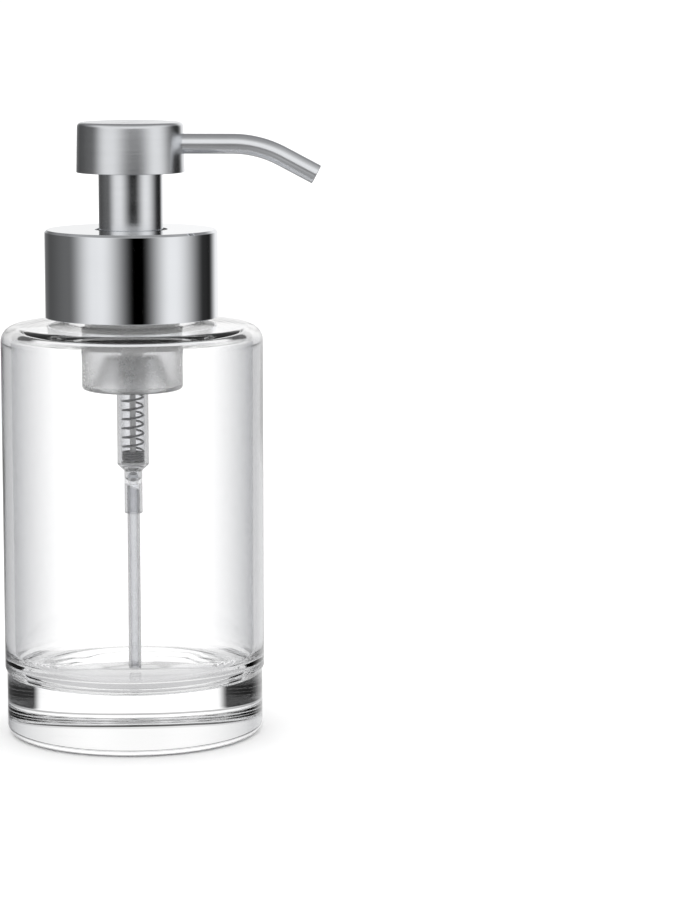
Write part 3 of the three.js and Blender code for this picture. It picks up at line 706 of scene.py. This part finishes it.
def makeHead():
    # A flat-topped shell with a rounded top edge and a side that flares downwards, and the sleeve below it.
    size = {"topRadius": 16.5, "edge": 1.5, "wall": 0.7}
    radius, low, high = span("head_shell")
    wall = size["wall"]
    flat, level = size["topRadius"] - size["edge"], high - size["edge"]
    shell = turned("headShell", np.concatenate([
        [[0, high], [flat - 1.2, high], [flat - 0.3, high]],
        arcPoints(flat, level, size["edge"], 90, 0, 14),
        rounded([(size["topRadius"] + 0.02, level - 0.3), (radius, low, 0.15), (radius - wall, low, 0.15),
                 (size["topRadius"] - wall, level)], 5),
        arcPoints(flat, level, size["edge"] - wall, 0, 90, 8),
        [[0, high - wall]]]), 192)
    placePiece(shell, brushedHead, "head", "brushed_metal", "head_shell")

    outer, sleeveLow, sleeveHigh = span("neck_sleeve")
    sleeve = turned("neckSleeve", rounded([
        (outer, sleeveLow, 0.2), (outer, sleeveHigh, 0.1), (outer - wall, sleeveHigh, 0.1),
        (outer - wall, sleeveLow, 0.2)], 5), 160)
    placePiece(sleeve, brushedNeck, "head", "brushed_metal", "neck_sleeve")


def makeSpout():
    # The centre line leaves the head level, turns down round an arc and runs on straight: x = start + level
    # part + R sin t + rest cos t, z = level - R (1 - cos t) - rest sin t, for the turn t so far.
    size = {"level": 185.3, "start": 6.5, "bendStart": 31.8, "bendRadius": 32.7, "angle": radians(27.8),
            "end": 12.2, "outer": 3.15, "inner": 2.6, "linerOuter": 2.5, "linerInner": 1.8,
            "linerShort": 0.6, "lip": 0.2, "rows": 70}
    bendRadius, angle = size["bendRadius"], size["angle"]
    level, bend = size["bendStart"] - size["start"], bendRadius * angle
    length = level + bend + size["end"]

    def line(distance):
        turn = np.clip((distance - level) / bendRadius, 0, angle)
        rest = np.maximum(distance - level - bend, 0)
        x = size["start"] + np.minimum(distance, level) + bendRadius * np.sin(turn) + rest * cos(angle)
        z = size["level"] - bendRadius * (1 - np.cos(turn)) - rest * sin(angle)
        zero = 0 * x
        return (np.stack([x, zero, z], axis=1), np.stack([zero, zero - 1, zero], axis=1),
                np.stack([np.sin(turn), zero, np.cos(turn)], axis=1))

    def pipe(name, outer, inner, end):
        lip = rounded([(0, outer), (end, outer, size["lip"]), (end, inner, size["lip"]), (0, inner)],
                      5)[1:-1]
        profile = np.concatenate([straight((0, outer), (end - 1, outer), size["rows"]), lip,
                                  straight((end - 1, inner), (0, inner), size["rows"])])
        return alongPath(name, profile, line, 64)

    spout = pipe("spoutTube", size["outer"], size["inner"], length)
    placePiece(spout, satinSpout, "head", "brushed_metal", "spout_tube")
    liner = pipe("spoutLiner", size["linerOuter"], size["linerInner"], length - size["linerShort"])
    placePiece(liner, whitePlastic, "head", "white_plastic", "spout_liner")


makeHead()
makeSpout()
print("head made")

cadFinish = {
    "cylinder_cover": whitePlastic, "valve_rod": whitePlastic, "stem": whitePlastic,
    "air_valve": sealRubber, "mesh_cartridge": whitePlastic, "lower_mesh": whitePlastic,
    "upper_mesh": whitePlastic, "head_core": whitePlastic}
for node, material in cadFinish.items():
    mesh = frame["nodes"][node].data
    mesh.materials.clear()
    mesh.materials.append(material)
print("inner parts finished")

# Angles in degrees, distances in metres, lens and sensor in millimetres.
camera = {"turn": 6, "distance": 1.008, "height": 0.2342, "yaw": 3.69, "pitch": 8.33, "lens": 127.2,
          "sensor": 36, "near": 0.01, "far": 50}


def makeCamera():
    data = bpy.data.cameras.new("camera")
    data.lens, data.sensor_width = camera["lens"], camera["sensor"]
    data.clip_start, data.clip_end = camera["near"], camera["far"]
    eye = bpy.data.objects.new("camera", data)
    bpy.context.collection.objects.link(eye)
    turn = radians(camera["turn"])
    eye.location = (camera["distance"] * sin(turn), -camera["distance"] * cos(turn), camera["height"])
    eye.rotation_euler = (radians(90 - camera["pitch"]), 0, turn - radians(camera["yaw"]))
    bpy.context.scene.camera = eye


def makeFloor():
    paper = {"half": 6, "gap": 0.0002, "fibreSize": 40, "dark": (0.93, 0.93, 0.93, 1),
             "light": (0.95, 0.95, 0.95, 1), "roughness": 0.9, "specular": 0.1}
    half, level = paper["half"], cadBox[0][2] - paper["gap"]
    mesh = bpy.data.meshes.new("floor")
    corners = [(-half, -half, level), (half, -half, level), (half, half, level), (-half, half, level)]
    mesh.from_pydata(corners, [], [(0, 1, 2, 3)])
    floor = bpy.data.objects.new("floor", mesh)
    bpy.context.collection.objects.link(floor)
    shader = newMaterial("floorPaper")
    fibre = shader.noise(paper["fibreSize"], detail=2)
    mesh.materials.append(shader.finish(shader.principled({
        "Base Color": shader.colour(fibre, paper["dark"], paper["light"]), "Roughness": paper["roughness"],
        "Specular IOR Level": paper["specular"]})))
    floor.visible_glossy = False  # so that metal mirrors the studio, not the sweep of paper
    floor.visible_transmission = False  # and the glass shows the studio through its base


def makeStudio():
    # White paper all round, as the eye and the floor see it. Steel mirrors tones that change all round at
    # its own height, a white soft box over them in front, and a ceiling bright in front and dim behind.
    # The thick glass base also shows a low dark panel at each side and a grey line at table height. What is
    # mirrored inside the glass has two dark bands behind the object, one just under the horizon and one high
    # up. A ramp's stops give a place and its tone: places run over the bearing, a full turn from 0 to 1 with
    # the camera's side at its middle, or over the height, from straight down at 0 to straight up at 1.
    studio = {
        "white": 1.02, "fill": 1.42, "through": 1.22, "softBox": (0.95, 0.95, 0.95, 1),
        "dimCeiling": (0.28, 0.28, 0.285, 1), "panelTone": 0.02, "belt": (0.3, 0.52),
        "boxFoot": (0.03, 0.13), "frontEdge": (0.2, 0.5333), "backEdge": (0.125, -0.5),
        "ceilingFoot": (0, 0.3333),
        "round": [(0.0, 0.95), (0.07, 0.15), (0.12, 0.09), (0.245, 0.15), (0.36, 0.93), (0.385, 0.95),
                  (0.51, 0.0), (0.538, 0.0), (0.65, 0.98), (0.66, 0.98), (0.81, 0.03), (0.848, 0.02),
                  (0.925, 0.99), (1.0, 1.0)],
        "above": [(0.0, 0.36), (0.2, 0.34), (0.35, 0.28), (0.5, 0.3), (0.62, 0.98), (0.85, 1.0),
                  (0.93, 0.5), (1.0, 0.33)],
        "inner": [(0.0, 1.0), (0.4, 1.0), (0.455, 0.7), (0.472, 0.1), (0.49, 0.1), (0.51, 0.8),
                  (0.54, 1.0), (0.62, 1.0), (0.63, 0.78), (0.672, 0.78), (0.684, 0.06), (0.77, 0.06),
                  (0.81, 1.0), (1.0, 1.0)],
        "panels": [(0.0, 0), (0.08, 0), (0.092, 1), (0.3, 1), (0.33, 0), (0.67, 0), (0.7, 1), (0.888, 1),
                   (0.9, 0), (1.0, 0)],
        "panelLevels": [(0.0, 0), (0.365, 0), (0.385, 1), (0.46, 1), (0.475, 0), (1.0, 0)],
        "tableLine": [(0.0, 1), (0.47, 1), (0.48, 0.45), (0.53, 0.45), (0.545, 1), (1.0, 1)]}
    world = bpy.data.worlds.new("studio")
    bpy.context.scene.world = world
    world.cycles.sampling_method = "NONE"
    shader = Shader(world)
    turn = radians(camera["turn"])
    way = shader.add("ShaderNodeTexCoord").out("Generated")
    toEye = shader.vector("DOT_PRODUCT", way, (sin(turn), -cos(turn), 0)).out("Value")
    toRight = shader.vector("DOT_PRODUCT", way, (cos(turn), sin(turn), 0)).out("Value")
    up = shader.vector("DOT_PRODUCT", way, (0, 0, 1)).out("Value")
    bearing = shader.maths("ARCTAN2", toRight, toEye) / (2 * pi) + 0.5
    height = up * 0.5 + 0.5

    def between(value, limits):
        # Climbs from 0 at the first limit to 1 at the second.
        return ((value - limits[0]) / (limits[1] - limits[0])).clamped()

    back = between(toEye, studio["backEdge"])
    ceiling = shader.colour(back * between(up, studio["ceilingFoot"]),
                            shader.ramp(studio["above"], height, "B_SPLINE"), studio["dimCeiling"])
    level = shader.ramp(studio["round"], bearing, "EASE")
    inFront = between(up, studio["boxFoot"]) * between(toEye, studio["frontEdge"])
    steep = between(shader.maths("ABSOLUTE", up), studio["belt"])
    mirroredBySteel = shader.colour(steep, shader.colour(inFront, level, studio["softBox"]), ceiling)
    mirroredInGlass = shader.colour(back, (1, 1, 1, 1), shader.ramp(studio["inner"], height))

    path = shader.add("ShaderNodeLightPath")
    inGlass = path.out("Transmission Depth").above(0.5)
    inBase = inGlass * (1 - path.out("Transmission Depth").above(2.5))  # two surfaces: not the hollow walls
    panel = shader.ramp(studio["panels"], bearing) * shader.ramp(studio["panelLevels"], height)
    darkened = 1 - (1 - panel * (1 - studio["panelTone"])) * shader.ramp(studio["tableLine"], height)
    mirrored = path.out("Glossy Depth").above(0.5) * (1 - path.out("Is Diffuse Ray"))
    seen, scattered = path.out("Is Camera Ray"), path.out("Is Diffuse Ray")
    light = seen * studio["white"] + scattered * studio["fill"] + (1 - seen - scattered) * studio["through"]
    plain = light * (1 - darkened * inBase)
    paper = shader.add("ShaderNodeCombineColor", None, {0: plain, 1: plain, 2: plain})
    whole = shader.colour(mirrored, paper, shader.colour(inGlass, mirroredBySteel, mirroredInGlass))
    glow = shader.add("ShaderNodeBackground", None, {"Color": whole, "Strength": 1})
    shader.add("ShaderNodeOutputWorld", None, {"Surface": glow})


makeCamera()
makeFloor()
makeStudio()
scene = bpy.context.scene
scene.view_settings.view_transform = "Standard"
scene.cycles.max_bounces = 24
scene.cycles.transmission_bounces = 20
scene.cycles.glossy_bounces = 12
print("camera, floor and studio made")
